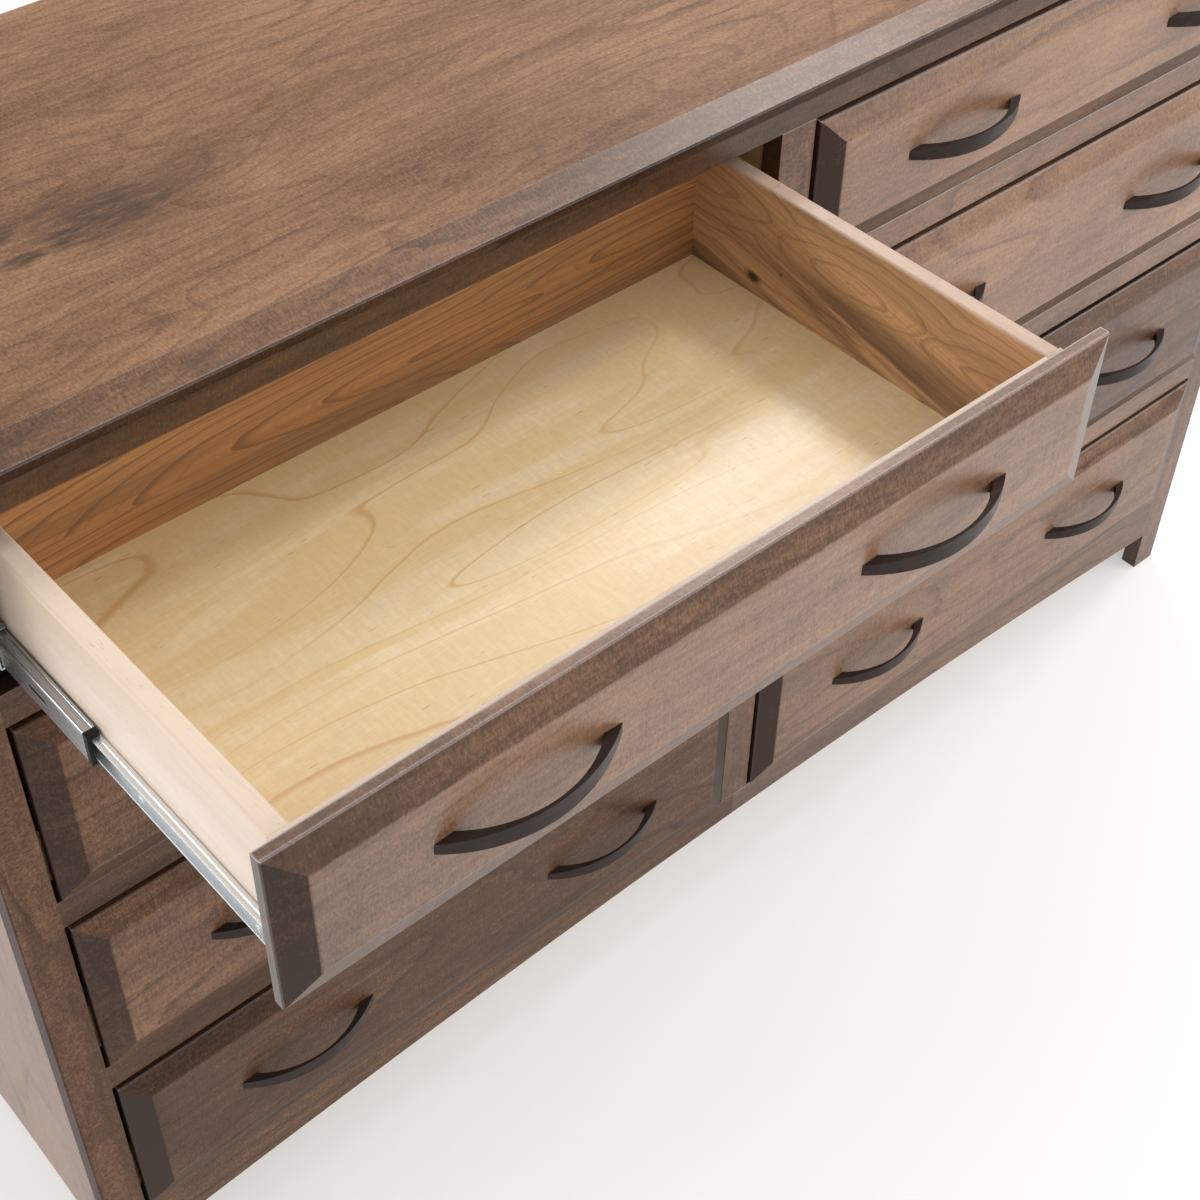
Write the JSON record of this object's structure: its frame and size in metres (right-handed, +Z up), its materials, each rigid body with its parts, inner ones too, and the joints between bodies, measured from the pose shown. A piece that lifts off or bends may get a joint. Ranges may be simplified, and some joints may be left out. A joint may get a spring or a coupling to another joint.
{
  "type": "chest of drawers",
  "caption": "Wide stained-wood dresser with two columns of raised-panel drawers on ball-bearing slides, bow pulls and an arched bottom rail.",
  "frame": {"origin": "on the floor, in the middle of the whole outline with the top left drawer standing open", "axes": "+X to the right along the width as seen from the front, +Y to the back (the fronts face -Y), +Z up"},
  "size_m": [1.562, 0.8332, 0.983],
  "materials": {
    "stained_wood": "brown stained maple, satin lacquer",
    "case_wood": "plain board, clear",
    "drawer_wood": "pale maple, clear lacquer",
    "drawer_ply": "pale plywood, clear lacquer",
    "slide_steel": "bright zinc plate",
    "pull_metal": "oil-rubbed bronze, satin",
    "stop_plastic": "moulded black"
  },
  "bodies": {
    "case": {"top": "stained_wood", "outer_stiles": "stained_wood", "centre_stile": "stained_wood", "top_rail": "stained_wood", "drawer_rails": "stained_wood", "bottom_rail": "stained_wood", "side_panels": "stained_wood", "centre_partition": "case_wood", "bottom_panel": "case_wood", "back_panel": "case_wood", "slide_cleats": "drawer_wood", "case_slides": "slide_steel"},
    "drawer_left_1": {"front_left_1": "stained_wood", "box_left_1": "drawer_wood", "box_bottom_left_1": "drawer_ply", "pulls_left_1": "pull_metal", "drawer_slides_left_1": "slide_steel"},
    "middle_left_1": {"middle_slides_left_1": "slide_steel"},
    "drawer_left_2": {"front_left_2": "stained_wood", "box_left_2": "drawer_wood", "box_bottom_left_2": "drawer_ply", "pulls_left_2": "pull_metal", "drawer_slides_left_2": "slide_steel"},
    "middle_left_2": {"middle_slides_left_2": "slide_steel"},
    "drawer_left_3": {"front_left_3": "stained_wood", "box_left_3": "drawer_wood", "box_bottom_left_3": "drawer_ply", "pulls_left_3": "pull_metal", "drawer_slides_left_3": "slide_steel"},
    "middle_left_3": {"middle_slides_left_3": "slide_steel"},
    "drawer_left_4": {"front_left_4": "stained_wood", "box_left_4": "drawer_wood", "box_bottom_left_4": "drawer_ply", "pulls_left_4": "pull_metal", "drawer_slides_left_4": "slide_steel"},
    "middle_left_4": {"middle_slides_left_4": "slide_steel"},
    "drawer_right_1": {"front_right_1": "stained_wood", "box_right_1": "drawer_wood", "box_bottom_right_1": "drawer_ply", "pulls_right_1": "pull_metal", "drawer_slides_right_1": "slide_steel"},
    "middle_right_1": {"middle_slides_right_1": "slide_steel"},
    "drawer_right_2": {"front_right_2": "stained_wood", "box_right_2": "drawer_wood", "box_bottom_right_2": "drawer_ply", "pulls_right_2": "pull_metal", "drawer_slides_right_2": "slide_steel"},
    "middle_right_2": {"middle_slides_right_2": "slide_steel"},
    "drawer_right_3": {"front_right_3": "stained_wood", "box_right_3": "drawer_wood", "box_bottom_right_3": "drawer_ply", "pulls_right_3": "pull_metal", "drawer_slides_right_3": "slide_steel"},
    "middle_right_3": {"middle_slides_right_3": "slide_steel"},
    "drawer_right_4": {"front_right_4": "stained_wood", "box_right_4": "drawer_wood", "box_bottom_right_4": "drawer_ply", "pulls_right_4": "pull_metal", "drawer_slides_right_4": "slide_steel"},
    "middle_right_4": {"middle_slides_right_4": "slide_steel"}
  },
  "joints": [
    {"name": "drawer_left_1_slide", "type": "slide", "parent": "case", "child": "drawer_left_1", "axis": [0, -1, 0], "range_m": [-0.322, 0.028]},
    {"name": "middle_left_1_slide", "type": "slide", "parent": "case", "child": "middle_left_1", "axis": [0, -1, 0], "range_m": [-0.161, 0.014]},
    {"name": "drawer_left_2_slide", "type": "slide", "parent": "case", "child": "drawer_left_2", "axis": [0, -1, 0], "range_m": [0, 0.35]},
    {"name": "middle_left_2_slide", "type": "slide", "parent": "case", "child": "middle_left_2", "axis": [0, -1, 0], "range_m": [0, 0.175]},
    {"name": "drawer_left_3_slide", "type": "slide", "parent": "case", "child": "drawer_left_3", "axis": [0, -1, 0], "range_m": [0, 0.35]},
    {"name": "middle_left_3_slide", "type": "slide", "parent": "case", "child": "middle_left_3", "axis": [0, -1, 0], "range_m": [0, 0.175]},
    {"name": "drawer_left_4_slide", "type": "slide", "parent": "case", "child": "drawer_left_4", "axis": [0, -1, 0], "range_m": [0, 0.35]},
    {"name": "middle_left_4_slide", "type": "slide", "parent": "case", "child": "middle_left_4", "axis": [0, -1, 0], "range_m": [0, 0.175]},
    {"name": "drawer_right_1_slide", "type": "slide", "parent": "case", "child": "drawer_right_1", "axis": [0, -1, 0], "range_m": [0, 0.35]},
    {"name": "middle_right_1_slide", "type": "slide", "parent": "case", "child": "middle_right_1", "axis": [0, -1, 0], "range_m": [0, 0.175]},
    {"name": "drawer_right_2_slide", "type": "slide", "parent": "case", "child": "drawer_right_2", "axis": [0, -1, 0], "range_m": [0, 0.35]},
    {"name": "middle_right_2_slide", "type": "slide", "parent": "case", "child": "middle_right_2", "axis": [0, -1, 0], "range_m": [0, 0.175]},
    {"name": "drawer_right_3_slide", "type": "slide", "parent": "case", "child": "drawer_right_3", "axis": [0, -1, 0], "range_m": [0, 0.35]},
    {"name": "middle_right_3_slide", "type": "slide", "parent": "case", "child": "middle_right_3", "axis": [0, -1, 0], "range_m": [0, 0.175]},
    {"name": "drawer_right_4_slide", "type": "slide", "parent": "case", "child": "drawer_right_4", "axis": [0, -1, 0], "range_m": [0, 0.35]},
    {"name": "middle_right_4_slide", "type": "slide", "parent": "case", "child": "middle_right_4", "axis": [0, -1, 0], "range_m": [0, 0.175]}
  ],
  "couplings": [
    {"joint": "middle_left_1_slide", "follows": "drawer_left_1_slide", "ratio": 0.5},
    {"joint": "middle_left_2_slide", "follows": "drawer_left_2_slide", "ratio": 0.5},
    {"joint": "middle_left_3_slide", "follows": "drawer_left_3_slide", "ratio": 0.5},
    {"joint": "middle_left_4_slide", "follows": "drawer_left_4_slide", "ratio": 0.5},
    {"joint": "middle_right_1_slide", "follows": "drawer_right_1_slide", "ratio": 0.5},
    {"joint": "middle_right_2_slide", "follows": "drawer_right_2_slide", "ratio": 0.5},
    {"joint": "middle_right_3_slide", "follows": "drawer_right_3_slide", "ratio": 0.5},
    {"joint": "middle_right_4_slide", "follows": "drawer_right_4_slide", "ratio": 0.5}
  ]
}
